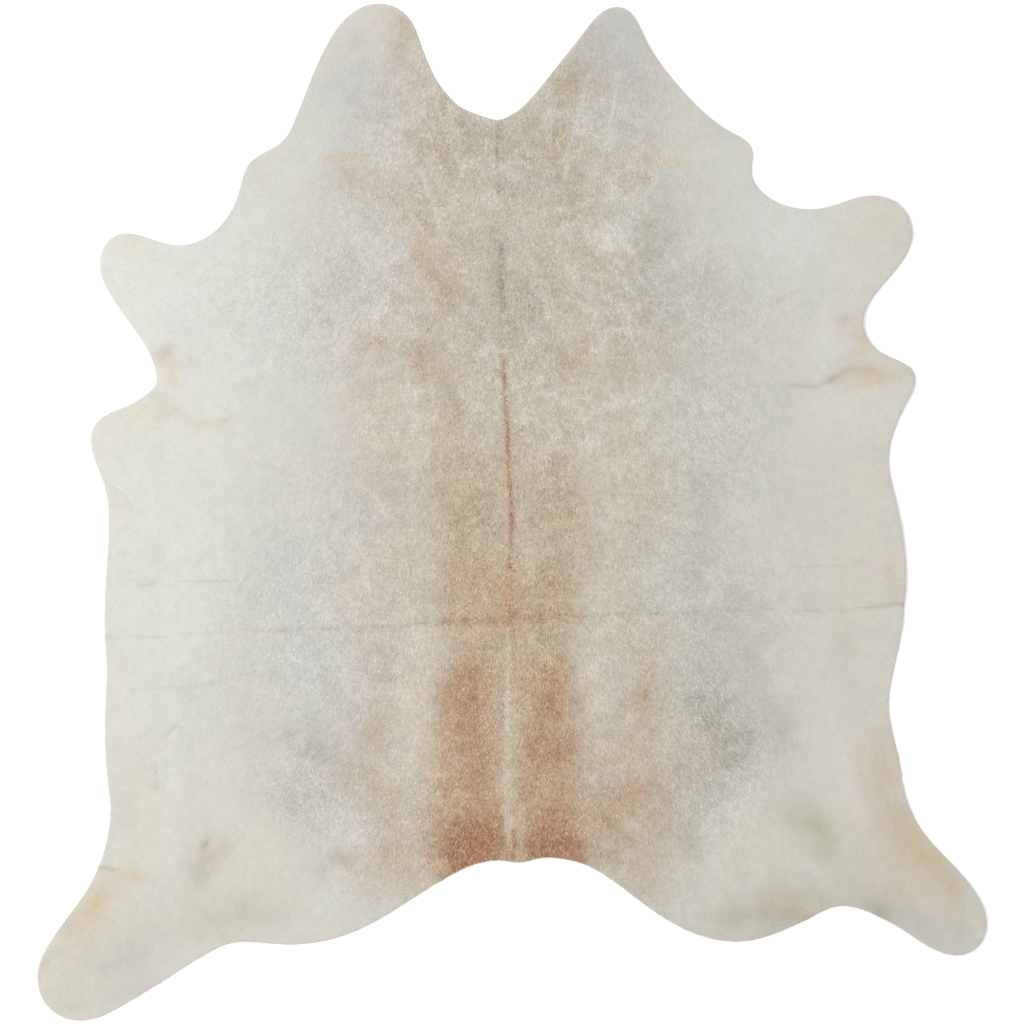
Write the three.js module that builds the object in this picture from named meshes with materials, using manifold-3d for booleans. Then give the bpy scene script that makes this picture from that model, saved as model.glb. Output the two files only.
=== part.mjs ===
// A cowhide rug lying on a floor with its hair side up and its neck towards +Y.
// It is one hide: leather with its short coat lying flat, cut to the outline of the skin.
// Millimetres, +Z up. The origin is on the floor, below the middle of the hide.
import * as THREE from 'three';
import { mergeVertices } from 'three/addons/utils/BufferGeometryUtils.js';
import Module from 'manifold-3d';

// Driving dimensions
const leatherThick = 2;
const coatDeep = 3;
const sheetThick = leatherThick + coatDeep;
const foldReach = 95;
const foldCrest = 4 / 27;
const blankWidth = 2160;
const blankLength = 3040;
const columns = 40;
const rows = 52;
const rowCrowding = 0.45;
const crowdingReach = 150;
const stepsPerStretch = 5;
const cutterHeight = 80;

// The cut edge, anticlockwise from the notch of the neck.
// Each row is a place on the edge, and the heading in degrees in which the edge runs through it.
const neckLeft = [
  { place: 'neck notch', x: -29, y: 846, heading: 178 },
  { place: 'step beside the notch', x: -70, y: 857, heading: 162 },
  { place: 'wall of the notch', x: -120, y: 881, heading: 140 },
  { place: 'inner side of the neck flap', x: -206, y: 1039, heading: 109 },
  { place: 'crown of the neck flap', x: -288, y: 1098, heading: 180 },
  { place: 'outer side of the neck flap', x: -389, y: 1028, heading: 238 },
  { place: 'cheek', x: -478, y: 825, heading: 246 },
  { place: 'step under the cheek', x: -527, y: 780, heading: 206 },
  { place: 'corner of the shoulder', x: -577, y: 737, heading: 252 },
  { place: 'shoulder', x: -601, y: 659, heading: 243 },
];
const forelegLeft = [
  { place: 'hollow before the foreleg', x: -719, y: 575, heading: 180 },
  { place: 'corner of the foreleg', x: -834, y: 602, heading: 180 },
  { place: 'tip of the foreleg', x: -890, y: 534, heading: 270 },
  { place: 'underside of the foreleg', x: -830, y: 414, heading: 304 },
  { place: 'armpit', x: -766, y: 284, heading: 270 },
  { place: 'foot of the armpit', x: -797, y: 248, heading: 218 },
  { place: 'top of the elbow', x: -872, y: 212, heading: 202 },
  { place: 'elbow', x: -909, y: 156, heading: 270 },
  { place: 'underside of the elbow', x: -885, y: 72, heading: 292 },
];
const flankLeft = [
  { place: 'girth', x: -870, y: -18, heading: 270 },
  { place: 'flank', x: -880, y: -238, heading: 270 },
  { place: 'belly', x: -875, y: -338, heading: 270 },
  { place: 'hollow of the belly', x: -879, y: -471, heading: 270 },
  { place: 'foot of the belly', x: -875, y: -562, heading: 275 },
  { place: 'stifle', x: -867, y: -644, heading: 270 },
];
const hindLegLeft = [
  { place: 'front of the hind leg', x: -913, y: -808, heading: 240 },
  { place: 'front of the hoof', x: -987, y: -913, heading: 236 },
  { place: 'hoof', x: -1025, y: -1008, heading: 270 },
  { place: 'end of the hoof', x: -933, y: -1100, heading: 0 },
  { place: 'back of the hind leg', x: -801, y: -1044, heading: 30 },
  { place: 'hock', x: -665, y: -959, heading: 30 },
  { place: 'hollow of the hock', x: -583, y: -929, heading: 0 },
];
const rump = [
  { place: 'left buttock', x: -476, y: -935, heading: 0 },
  { place: 'left rump', x: -305, y: -891, heading: 28 },
  { place: 'top of the left rump', x: -122, y: -780, heading: 28 },
  { place: 'left of the tail', x: -25, y: -753, heading: 0 },
  { place: 'tail', x: 16, y: -759, heading: 0 },
  { place: 'right of the tail', x: 70, y: -747, heading: 0 },
  { place: 'top of the right rump', x: 191, y: -779, heading: 327 },
  { place: 'right rump', x: 299, y: -858, heading: 324 },
  { place: 'right buttock', x: 484, y: -929, heading: 0 },
];
const hindLegRight = [
  { place: 'rise to the hock', x: 635, y: -882, heading: 25 },
  { place: 'hollow of the hock', x: 713, y: -851, heading: 0 },
  { place: 'back of the hind leg', x: 812, y: -885, heading: 334 },
  { place: 'end of the hoof', x: 961, y: -959, heading: 0 },
  { place: 'hoof', x: 1026, y: -890, heading: 90 },
  { place: 'front of the hoof', x: 985, y: -799, heading: 128 },
  { place: 'front of the hind leg', x: 883, y: -683, heading: 124 },
];
const flankRight = [
  { place: 'stifle', x: 840, y: -555, heading: 96 },
  { place: 'belly', x: 814, y: -417, heading: 90 },
  { place: 'side of the belly', x: 834, y: -299, heading: 79 },
  { place: 'flank', x: 850, y: -137, heading: 90 },
  { place: 'side of the girth', x: 830, y: 20, heading: 103 },
  { place: 'girth', x: 814, y: 111, heading: 90 },
];
const forelegRight = [
  { place: 'underside of the elbow', x: 843, y: 219, heading: 66 },
  { place: 'elbow', x: 872, y: 288, heading: 90 },
  { place: 'top of the elbow', x: 808, y: 338, heading: 157 },
  { place: 'armpit', x: 756, y: 409, heading: 90 },
  { place: 'underside of the foreleg', x: 812, y: 501, heading: 51 },
  { place: 'tip of the foreleg', x: 865, y: 601, heading: 90 },
  { place: 'corner of the foreleg', x: 780, y: 684, heading: 180 },
  { place: 'hollow before the foreleg', x: 648, y: 653, heading: 180 },
];
const neckRight = [
  { place: 'shoulder', x: 540, y: 691, heading: 136 },
  { place: 'notch of the shoulder', x: 517, y: 737, heading: 90 },
  { place: 'corner of the cheek', x: 522, y: 775, heading: 90 },
  { place: 'cheek', x: 467, y: 824, heading: 149 },
  { place: 'outer side of the neck flap', x: 363, y: 917, heading: 131 },
  { place: 'tip side of the neck flap', x: 292, y: 1014, heading: 119 },
  { place: 'crown of the neck flap', x: 228, y: 1091, heading: 180 },
  { place: 'inner side of the neck flap', x: 141, y: 1017, heading: 230 },
  { place: 'wall of the notch', x: 31, y: 883, heading: 227 },
  { place: 'foot of the notch', x: -3, y: 857, heading: 206 },
];
const cutEdge = [
  ...neckLeft,
  ...forelegLeft,
  ...flankLeft,
  ...hindLegLeft,
  ...rump,
  ...hindLegRight,
  ...flankRight,
  ...forelegRight,
  ...neckRight,
];

// The fold across the back, from flank to flank.
// The crease itself touches the floor, and the hide stands off by rise on both sides of it.
const crossFold = [
  { place: 'left flank', x: -877, y: -269, rise: 2.6 },
  { place: 'left side', x: -391, y: -251, rise: 2.0 },
  { place: 'spine', x: -68, y: -238, rise: 2.4 },
  { place: 'right side', x: 277, y: -219, rise: 1.2 },
  { place: 'right flank', x: 849, y: -204, rise: 2.8 },
];

// Low swells where the hide doesn't lie down on the floor.
// Each is an oval: half its length and half its breadth, its turn in degrees from +X, and its rise.
const swells = [
  { place: 'ridge of the left hind leg', x: -728, y: -630, along: 270, across: 90, turn: 84, rise: 6 },
  { place: 'left hoof', x: -940, y: -985, along: 190, across: 110, turn: 48, rise: 4 },
  { place: 'left buttock', x: -470, y: -790, along: 210, across: 120, turn: 20, rise: 3 },
  { place: 'ridge of the right hind leg', x: 760, y: -650, along: 290, across: 95, turn: 107, rise: 6 },
  { place: 'right hoof', x: 945, y: -850, along: 170, across: 105, turn: 128, rise: 4 },
  { place: 'right buttock', x: 500, y: -770, along: 210, across: 120, turn: 160, rise: 3 },
  { place: 'left armpit', x: -735, y: 345, along: 150, across: 85, turn: 118, rise: 6 },
  { place: 'left elbow', x: -835, y: 150, along: 140, across: 95, turn: 35, rise: 4 },
  { place: 'left foreleg', x: -850, y: 545, along: 130, across: 95, turn: 140, rise: 4 },
  { place: 'right armpit', x: 730, y: 390, along: 150, across: 85, turn: 60, rise: 6 },
  { place: 'right elbow', x: 800, y: 240, along: 150, across: 80, turn: 8, rise: 5 },
  { place: 'right foreleg', x: 820, y: 620, along: 140, across: 100, turn: 40, rise: 4 },
  { place: 'left flank', x: -860, y: -60, along: 210, across: 95, turn: 90, rise: 3 },
  { place: 'right flank', x: 830, y: -60, along: 190, across: 100, turn: 90, rise: 4 },
  { place: 'left neck flap', x: -300, y: 1050, along: 170, across: 110, turn: 100, rise: 3 },
  { place: 'right neck flap', x: 225, y: 1030, along: 160, across: 110, turn: 85, rise: 4 },
];

const wasm = await Module();
wasm.setup();

const radians = THREE.MathUtils.degToRad;

// The edge as one closed line of curves.
// Each stretch leaves one place and meets the next along their headings, as near to an arc as a curve gets.
function edgeShape(places) {
  const shape = new THREE.Shape();
  shape.moveTo(places[0].x, places[0].y);
  places.forEach((from, i) => {
    const to = places[(i + 1) % places.length];
    const chord = Math.hypot(to.x - from.x, to.y - from.y);
    const turn = THREE.MathUtils.euclideanModulo(to.heading - from.heading + 180, 360) - 180;
    const handle = chord / (3 * Math.cos(radians(turn) / 4) ** 2);
    shape.bezierCurveTo(
      from.x + handle * Math.cos(radians(from.heading)),
      from.y + handle * Math.sin(radians(from.heading)),
      to.x - handle * Math.cos(radians(to.heading)),
      to.y - handle * Math.sin(radians(to.heading)),
      to.x,
      to.y,
    );
  });
  return shape;
}

// Where the fold crosses a line along the hide at x, and how far the hide stands off beside it.
function foldAt(x) {
  const last = crossFold.length - 2;
  const after = crossFold.findIndex((row) => row.x > x);
  const i = after < 0 ? last : THREE.MathUtils.clamp(after - 1, 0, last);
  const share = (x - crossFold[i].x) / (crossFold[i + 1].x - crossFold[i].x);
  const inside = THREE.MathUtils.clamp(share, 0, 1);
  return {
    y: THREE.MathUtils.lerp(crossFold[i].y, crossFold[i + 1].y, share),
    rise: THREE.MathUtils.lerp(crossFold[i].rise, crossFold[i + 1].rise, inside),
  };
}

// Nothing at the crease, the full rise at its crest a third of the way out, and flat at the end of its reach.
function foldLift(x, y) {
  const fold = foldAt(x);
  const out = Math.min(1, Math.abs(y - fold.y) / foldReach);
  return (fold.rise * out * (1 - out) ** 2) / foldCrest;
}

function swellLift(swell, x, y) {
  const dx = x - swell.x;
  const dy = y - swell.y;
  const cos = Math.cos(radians(swell.turn));
  const sin = Math.sin(radians(swell.turn));
  const out = ((dx * cos + dy * sin) / swell.along) ** 2 + ((dy * cos - dx * sin) / swell.across) ** 2;
  return out < 1 ? swell.rise * (1 - out) ** 2 : 0;
}

// How far the underside of the hide is above the floor.
function liftAt(x, y) {
  return swells.reduce((sum, swell) => sum + swellLift(swell, x, y), foldLift(x, y));
}

function solidOf(geometry) {
  const bare = geometry.clone();
  bare.deleteAttribute('normal');
  bare.deleteAttribute('uv');
  const merged = mergeVertices(bare, 1e-4);
  const mesh = new wasm.Mesh({
    numProp: 3,
    vertProperties: new Float32Array(merged.attributes.position.array),
    triVerts: new Uint32Array(merged.index.array),
  });
  return new wasm.Manifold(mesh);
}

function geometryOf(solid) {
  const mesh = solid.getMesh();
  const geometry = new THREE.BufferGeometry();
  geometry.setAttribute('position', new THREE.BufferAttribute(mesh.vertProperties, mesh.numProp));
  geometry.setIndex(new THREE.BufferAttribute(mesh.triVerts, 1));
  return geometry;
}

// A wide sheet of the hide's thickness that rises over the fold and the swells.
// Its rows run along the fold and crowd together towards it.
function skinBlank() {
  const geometry = new THREE.BoxGeometry(blankWidth, blankLength, sheetThick, columns, rows, 1);
  const points = geometry.attributes.position;
  for (let i = 0; i < points.count; i += 1) {
    const x = points.getX(i);
    const row = points.getY(i);
    const drawnIn = rowCrowding * crowdingReach * Math.tanh(row / crowdingReach);
    const y = foldAt(x).y + row - drawnIn;
    points.setY(i, y);
    points.setZ(i, points.getZ(i) + sheetThick / 2 + liftAt(x, y));
  }
  return geometry;
}

// The sheet that the outline cuts out of the blank, with its middle over the origin.
function cutHide() {
  const cutter = new THREE.ExtrudeGeometry(edgeShape(cutEdge), {
    depth: cutterHeight,
    bevelEnabled: false,
    curveSegments: stepsPerStretch,
  });
  cutter.translate(0, 0, -cutterHeight / 2);
  const geometry = geometryOf(solidOf(skinBlank()).intersect(solidOf(cutter)));
  geometry.computeBoundingBox();
  const middle = geometry.boundingBox.getCenter(new THREE.Vector3());
  geometry.translate(-middle.x, -middle.y, -geometry.boundingBox.min.z);
  geometry.computeVertexNormals();
  return geometry;
}

const hide = new THREE.Mesh(
  cutHide(),
  new THREE.MeshStandardMaterial({ color: 0xd6cfc2, roughness: 0.85, metalness: 0 }),
);
hide.name = 'hide';

const rug = new THREE.Group();
rug.add(hide);

export default rug;
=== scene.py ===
import math

import bpy
import numpy as np
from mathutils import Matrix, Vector
from mathutils.bvhtree import BVHTree
from mathutils.geometry import delaunay_2d_cdt
from mathutils.kdtree import KDTree


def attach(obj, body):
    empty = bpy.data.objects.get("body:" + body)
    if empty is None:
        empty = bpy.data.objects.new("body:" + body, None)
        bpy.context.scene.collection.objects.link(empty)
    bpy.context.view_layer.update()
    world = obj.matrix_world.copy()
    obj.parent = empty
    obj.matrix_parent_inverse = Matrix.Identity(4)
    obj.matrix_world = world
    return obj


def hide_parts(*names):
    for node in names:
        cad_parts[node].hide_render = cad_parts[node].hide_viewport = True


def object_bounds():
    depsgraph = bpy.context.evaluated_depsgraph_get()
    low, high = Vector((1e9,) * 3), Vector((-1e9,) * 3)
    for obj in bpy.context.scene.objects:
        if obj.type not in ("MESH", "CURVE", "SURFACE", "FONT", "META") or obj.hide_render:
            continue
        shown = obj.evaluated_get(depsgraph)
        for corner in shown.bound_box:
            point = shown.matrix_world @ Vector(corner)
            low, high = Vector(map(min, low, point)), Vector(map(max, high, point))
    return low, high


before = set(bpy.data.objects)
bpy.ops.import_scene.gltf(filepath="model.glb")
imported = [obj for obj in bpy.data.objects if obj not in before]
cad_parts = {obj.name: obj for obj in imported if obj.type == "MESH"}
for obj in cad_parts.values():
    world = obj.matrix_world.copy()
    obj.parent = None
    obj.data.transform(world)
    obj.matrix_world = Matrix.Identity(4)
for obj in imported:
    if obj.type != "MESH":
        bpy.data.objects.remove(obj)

# A cowhide rug lying hair side up on a pale floor: the skin, its short coat, and the studio.
# Lengths are in millimetres until a mesh is made.
mm = 0.001
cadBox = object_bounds()
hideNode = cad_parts["hide"]
print("frame loaded, box", [round(v, 4) for v in (*cadBox[0], *cadBox[1])])

# coat colours as they look in even daylight, 0 to 255
tints = {
    "snow": (231, 231, 226),
    "chalk": (222, 222, 216),
    "milk": (218, 216, 206),
    "cream": (220, 214, 195),
    "butter": (217, 214, 198),
    "peach": (220, 194, 160),
    "honey": (205, 176, 138),
    "pearl": (206, 205, 200),
    "linen": (206, 200, 185),
    "lilac": (193, 192, 189),
    "ash": (190, 188, 179),
    "sand": (205, 196, 177),
    "wheat": (213, 205, 185),
    "fawn": (187, 174, 154),
    "olive": (186, 178, 153),
    "tan": (192, 169, 141),
    "clay": (184, 137, 101),
    "rust": (161, 111, 81),
    "umber": (132, 98, 72),
    "slate": (147, 141, 122),
    "smoke": (176, 171, 158),
}

# markings laid one over the other, in ovals from the middle of the hide:
# place, tint, x, y, half along, half across, turn, core, strength, raggedness
coatMarks = [
    ("left foreleg and shoulder", "chalk", -720, 470, 420, 330, 130, 0.3, 0.9, 60),
    ("left flank", "chalk", -740, -80, 560, 240, 90, 0.2, 0.70, 60),
    ("right flank", "cream", 740, -80, 480, 170, 90, 0.1, 0.30, 60),
    ("right cheek", "chalk", 600, 640, 280, 170, 110, 0.2, 0.70, 60),
    ("white of the right cheek", "snow", 610, 620, 190, 130, 0, 0, 0.52, 40),
    ("left cheek", "chalk", -590, 620, 120, 90, 120, 0.1, 0.5, 50),
    ("grey mantle", "pearl", 15, 90, 1230, 690, 90, 0.40, 0.95, 90),
    ("saddle", "sand", 10, 20, 1130, 420, 90, 0.50, 0.90, 90),
    ("grey left loin", "pearl", -480, -350, 420, 160, 92, 0.2, 0.65, 90),
    ("grey right loin", "ash", 450, -430, 330, 150, 86, 0.1, 0.70, 90),
    ("dark of the right loin", "smoke", 460, -504, 140, 90, 80, 0.1, 0.46, 50),
    ("dark low on the right loin", "smoke", 407, -687, 70, 36, 80, 0.1, 0.3, 30),
    ("grey low on the right flank", "ash", 547, -331, 120, 95, 90, 0.1, 0.42, 50),
    ("grey of the right belly", "ash", 560, -490, 130, 100, 90, 0, 0.36, 50),
    ("warm of the right loin", "fawn", 375, -540, 190, 100, 80, 0.1, 0.42, 60),
    ("warm low on the right loin", "fawn", 385, -670, 120, 85, 90, 0, 0.34, 40),
    ("grey by the left rump", "ash", -390, -520, 170, 110, 100, 0.1, 0.42, 60),
    ("shade of the left loin", "ash", -550, -480, 120, 90, 0, 0, 0.42, 50),
    ("low left loin", "ash", -470, -600, 140, 100, 0, 0.1, 0.42, 50),
    ("warm of the left loin", "fawn", -350, -620, 120, 70, 100, 0, 0.35, 40),

    ("grey left of the neck", "pearl", -350, 860, 250, 130, 65, 0.2, 0.8, 60),
    ("white left of the neck", "chalk", -450, 780, 150, 70, 70, 0.1, 0.5, 40),
    ("lilac of the left flap", "lilac", -327, 960, 75, 45, 20, 0, 0.45, 50),
    ("lilac of the left edge", "lilac", -413, 905, 50, 40, 60, 0, 0.32, 40),
    ("olive of the left tip", "ash", -343, 1030, 60, 40, 80, 0, 0.30, 45),
    ("inner rim of the left flap", "sand", -225, 1000, 140, 60, 110, 0.1, 0.6, 40),
    ("brown of the left flap", "tan", -232, 1050, 55, 26, 130, 0, 0.42, 25),
    ("olive of the left flap", "fawn", -235, 995, 60, 45, 90, 0, 0.26, 35),
    ("smudge of the left flap", "fawn", -273, 880, 75, 38, 80, 0, 0.26, 45),
    ("brown speck of the left flap", "fawn", -305, 842, 45, 24, 10, 0, 0.28, 30),
    ("top of the right flap", "lilac", 240, 1000, 190, 110, 100, 0.1, 0.55, 60),
    ("lilac of the right flap", "lilac", 275, 910, 110, 80, 80, 0, 0.45, 50),
    ("tip of the right flap", "pearl", 262, 1040, 80, 55, 100, 0, 0.50, 20),

    ("warm of the neck", "tan", -20, 690, 260, 210, 90, 0.2, 0.12, 70),
    ("fawn right of the notch", "fawn", 105, 850, 260, 100, 62, 0.2, 0.56, 70),
    ("fawn left of the notch", "fawn", -135, 815, 150, 100, 125, 0.2, 0.56, 65),
    ("brown left of the notch", "tan", -170, 788, 75, 42, 20, 0, 0.32, 45),
    ("brown by the notch", "tan", -140, 888, 85, 46, 130, 0, 0.60, 25),
    ("rim of the notch, left", "fawn", -125, 868, 95, 38, 140, 0, 0.50, 15),
    ("rim of the notch, right", "fawn", 60, 858, 100, 38, 45, 0, 0.50, 15),
    ("fawn under the notch", "fawn", -20, 820, 130, 60, 0, 0.1, 0.52, 50),
    ("red right of the notch", "tan", 110, 785, 105, 60, 10, 0, 0.36, 50),
    ("pale under the notch", "linen", -90, 750, 80, 45, 20, 0.1, 0.50, 45),
    ("pale under the neck", "linen", -10, 640, 120, 60, 0, 0, 0.35, 60),
    ("brown of the right flap", "tan", 137, 912, 85, 55, 55, 0.1, 0.46, 55),
    ("brown spot of the right flap", "tan", 195, 905, 45, 32, 30, 0, 0.42, 30),
    ("pale in the right flap", "pearl", 190, 850, 75, 45, 75, 0.1, 0.60, 45),
    ("fawn low in the right flap", "fawn", 290, 770, 80, 50, 20, 0, 0.35, 50),
    ("brown low in the right flap", "fawn", 250, 730, 90, 48, 15, 0, 0.45, 50),
    ("olive left of the neck", "fawn", -310, 725, 120, 48, 160, 0, 0.32, 50),
    ("brown smudge of the neck", "fawn", -100, 726, 70, 45, 10, 0, 0.38, 45),
    ("second smudge of the neck", "fawn", 72, 726, 80, 40, 0, 0, 0.42, 45),
    ("smudge right of the neck", "fawn", 105, 680, 110, 50, 0, 0, 0.35, 55),
    ("pale left of the spine", "linen", -55, 665, 50, 45, 80, 0, 0.50, 35),

    ("grey of the withers", "ash", 20, 520, 300, 110, 90, 0.1, 0.38, 70),
    ("warm of the withers", "tan", -60, 420, 190, 220, 90, 0.2, 0.16, 70),
    ("grey right shoulder", "ash", 300, 580, 190, 110, 75, 0.2, 0.52, 70),
    ("beige right of the withers", "sand", 202, 588, 85, 60, 60, 0, 0.60, 50),
    ("grey edge of the right shoulder", "ash", 415, 482, 95, 80, 45, 0, 0.44, 50),
    ("dark of the right shoulder", "smoke", 300, 520, 120, 85, 60, 0.1, 0.26, 60),
    ("dark low on the right shoulder", "smoke", 345, 460, 90, 70, 45, 0, 0.30, 50),
    ("dark of the left shoulder", "ash", -402, 510, 130, 70, 75, 0, 0.40, 70),
    ("pale of the left shoulder", "milk", -300, 605, 115, 60, 130, 0.2, 0.50, 60),
    ("brown left of the withers", "tan", -192, 575, 85, 48, 80, 0, 0.52, 50),
    ("pink left of the spine", "tan", -95, 560, 70, 50, 60, 0, 0.30, 50),
    ("red left of the withers", "clay", -143, 500, 72, 50, 60, 0, 0.26, 45),
    ("brown below it", "tan", -165, 440, 75, 45, 100, 0, 0.46, 45),
    ("cool left of the spine", "ash", -80, 410, 80, 50, 90, 0.1, 0.36, 45),
    ("cool right of the spine", "ash", 30, 440, 90, 55, 100, 0, 0.32, 45),
    ("brown of the left shoulder", "tan", -295, 385, 75, 48, 160, 0, 0.46, 50),
    ("red of the left shoulder", "clay", -230, 330, 65, 45, 130, 0, 0.22, 45),
    ("brown low on the left shoulder", "tan", -198, 275, 105, 62, 150, 0.1, 0.38, 55),
    ("orange fleck of the left shoulder", "peach", -320, 330, 34, 12, 10, 0, 0.40, 15),
    ("brown right of the withers", "tan", 148, 575, 70, 48, 60, 0, 0.36, 45),
    ("olive right of the withers", "fawn", 150, 500, 90, 60, 40, 0, 0.30, 55),
    ("red right of the withers", "clay", 126, 456, 42, 18, 85, 0, 0.20, 18),
    ("pale fan right of the spine", "wheat", 70, 560, 130, 55, 135, 0.1, 0.70, 45),
    ("olive streak of the right shoulder", "fawn", 256, 413, 95, 40, 45, 0, 0.36, 40),
    ("pink of the right withers", "tan", 170, 350, 130, 60, 20, 0, 0.32, 55),
    ("pink low on the right withers", "tan", 190, 275, 140, 80, 0, 0, 0.24, 60),
    ("pale of the right shoulder", "linen", 292, 350, 85, 60, 60, 0.1, 0.60, 45),
    ("pale low on the right shoulder", "pearl", 310, 265, 90, 50, 70, 0.1, 0.45, 45),
    ("pale left withers", "wheat", -300, 200, 170, 100, 120, 0.2, 0.55, 60),
    ("pale right withers", "wheat", 240, 150, 200, 110, 60, 0.2, 0.50, 60),

    ("middle of the back", "tan", -3, -130, 330, 62, 90, 0.2, 0.46, 20),
    ("wash of the rump", "tan", 0, -620, 200, 175, 90, 0.2, 0.60, 28),
    ("red tinge of the left back", "tan", -128, 150, 100, 60, 95, 0.1, 0.16, 40),
    ("warm of the left ribs", "fawn", -275, 75, 100, 120, 90, 0, 0.26, 50),
    ("warm of the right ribs", "fawn", 420, 60, 130, 100, 90, 0, 0.24, 60),
    ("warm of the right side", "fawn", 415, -100, 220, 90, 90, 0, 0.22, 60),
    ("brown of the left back", "tan", -100, 14, 90, 62, 70, 0.2, 0.50, 30),
    ("brown of the right back", "tan", 87, 3, 115, 76, 80, 0.2, 0.36, 30),
    ("pale left loin", "wheat", -205, -256, 90, 44, 90, 0.1, 0.55, 30),
    ("pale left of the band", "wheat", -212, -430, 150, 46, 88, 0.1, 0.75, 28),
    ("pale patch left of the band", "wheat", -205, -548, 66, 44, 20, 0.2, 0.8, 22),
    ("pale right loin", "wheat", 184, -165, 56, 36, 60, 0.1, 0.55, 25),
    ("pale right of the band", "wheat", 186, -350, 160, 38, 90, 0.1, 0.75, 25),
    ("pale patch right of the band", "wheat", 205, -527, 84, 34, 8, 0.2, 0.8, 20),
    ("tan outside left", "tan", -301, -331, 170, 60, 92, 0, 0.32, 45),
    ("orange of the left loin", "tan", -292, -470, 90, 60, 80, 0, 0.48, 25),
    ("tan outside right", "tan", 280, -430, 180, 75, 85, 0, 0.62, 35),
    ("red of the right loin", "clay", 277, -398, 60, 40, 30, 0, 0.18, 18),
    ("tan of the left rump", "tan", -250, -740, 120, 110, 120, 0.1, 0.60, 40),
    ("red of the left rump", "clay", -266, -734, 44, 34, 0, 0, 0.25, 18),
    ("tan left of the pale patch", "tan", -290, -610, 120, 80, 130, 0, 0.62, 35),
    ("tan of the right rump", "tan", 245, -670, 200, 150, 85, 0.1, 0.88, 40),
    ("red of the right rump", "clay", 271, -601, 54, 36, 0, 0, 0.30, 20),

    ("smoke streak of the left loin", "smoke", -435, -497, 100, 36, 170, 0, 0.3, 30),
    ("smoke spot of the left loin", "smoke", -471, -629, 38, 22, 0, 0, 0.2, 15),
    ("grey spot of the left rump", "slate", -374, -745, 45, 32, 160, 0, 0.48, 12),
    ("grey left of the spot", "lilac", -418, -768, 60, 45, 0, 0, 0.50, 15),
    ("pale by the left rump", "chalk", -402, -834, 80, 38, 20, 0.2, 0.45, 30),
    ("cream left thigh", "butter", -564, -752, 160, 100, 70, 0.3, 0.7, 50),
    ("wash of the left hind leg", "sand", -890, -970, 210, 115, 45, 0.1, 0.45, 40),
    ("rim of the left thigh", "olive", -640, -870, 210, 70, 8, 0, 0.40, 30),
    # painted shade, olive-tinted, in the hollow of the left thigh
    ("left dimple", "olive", -672, -765, 95, 50, 70, 0, 0.58, 12),
    ("left dimple, right side", "tan", -632, -728, 55, 40, 110, 0, 0.22, 15),
    ("painted shade deep in the left dimple", "slate", -666, -718, 26, 12, 60, 0, 0.34, 8),
    # painted highlight along the raised ridge of the left thigh
    ("painted highlight on the ridge of the left thigh", "chalk", -732, -622, 210, 28, 88, 0.2, 0.6, 10),
    ("cream of the left stifle", "cream", -812, -640, 160, 55, 92, 0.2, 0.60, 20),
    ("grey of the left stifle", "pearl", -832, -620, 120, 50, 90, 0, 0.40, 20),
    ("yellow crease of the left leg", "honey", -822, -787, 58, 22, 170, 0, 0.42, 6),
    ("peach of the left leg", "honey", -905, -860, 130, 47, 48, 0, 0.54, 15),
    ("brown tip of the left leg", "tan", -1006, -972, 42, 17, 60, 0, 0.25, 10),
    ("grey of the left hind leg", "lilac", -823, -965, 140, 70, 25, 0, 0.52, 20),
    ("brown of the left hoof", "fawn", -952, -1071, 52, 22, 0, 0, 0.25, 12),
    ("shade low on the left leg", "lilac", -828, -1036, 95, 42, 20, 0, 0.50, 20),
    ("shade of the left shank", "ash", -965, -898, 70, 45, 50, 0, 0.22, 20),

    ("cream right thigh", "butter", 536, -730, 150, 95, 40, 0.3, 0.70, 40),
    ("wash of the right hind leg", "wheat", 840, -780, 260, 150, 130, 0.1, 0.65, 40),
    ("rim of the right thigh", "olive", 600, -870, 270, 90, 8, 0, 0.72, 30),
    ("brown edge of the right thigh", "fawn", 497, -877, 88, 22, 8, 0, 0.3, 15),
    ("olive of the right thigh", "fawn", 583, -827, 70, 45, 80, 0, 0.22, 20),
    # painted shade, olive-tinted, in the hollow of the right thigh
    ("right dimple", "olive", 672, -688, 105, 58, 120, 0, 0.50, 20),
    ("right dimple, left side", "olive", 625, -655, 75, 58, 20, 0, 0.34, 20),
    ("painted shade deep in the right dimple", "slate", 685, -700, 60, 30, 115, 0, 0.10, 10),
    # painted highlight along the raised ridge of the right thigh
    ("painted highlight on the ridge of the right thigh", "chalk", 747, -622, 200, 26, 108, 0.2, 0.5, 10),
    ("honey of the right stifle", "honey", 815, -550, 130, 80, 100, 0, 0.36, 25),
    ("honey of the right leg", "honey", 872, -715, 170, 72, 130, 0, 0.54, 20),
    ("honey low on the right leg", "honey", 955, -815, 90, 48, 130, 0, 0.30, 20),
    ("dark of the right hind leg", "slate", 797, -858, 60, 42, 140, 0, 0.42, 15),
    ("grey of the right hind leg", "lilac", 881, -892, 106, 49, 145, 0, 0.54, 15),
    ("grey of the right hoof", "ash", 968, -898, 80, 60, 130, 0, 0.36, 20),
    ("shade of the right flank", "smoke", 720, -290, 85, 38, 95, 0, 0.20, 8),
    ("tan of the right edge", "honey", 823, -137, 70, 30, 95, 0, 0.26, 15),

    ("peach of the right armpit", "peach", 762, 372, 65, 42, 60, 0.1, 0.48, 20),
    ("olive of the right armpit", "olive", 722, 408, 40, 26, 20, 0, 0.35, 10),
    ("peach of the right elbow", "peach", 785, 290, 120, 32, 12, 0.1, 0.50, 20),
    ("light of the right elbow", "snow", 822, 206, 95, 65, 0, 0, 0.42, 20),
    ("white of the right armpit", "snow", 680, 345, 90, 70, 0, 0, 0.40, 25),
    ("white of the right ribs", "snow", 700, 215, 120, 80, 0, 0, 0.34, 30),
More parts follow.
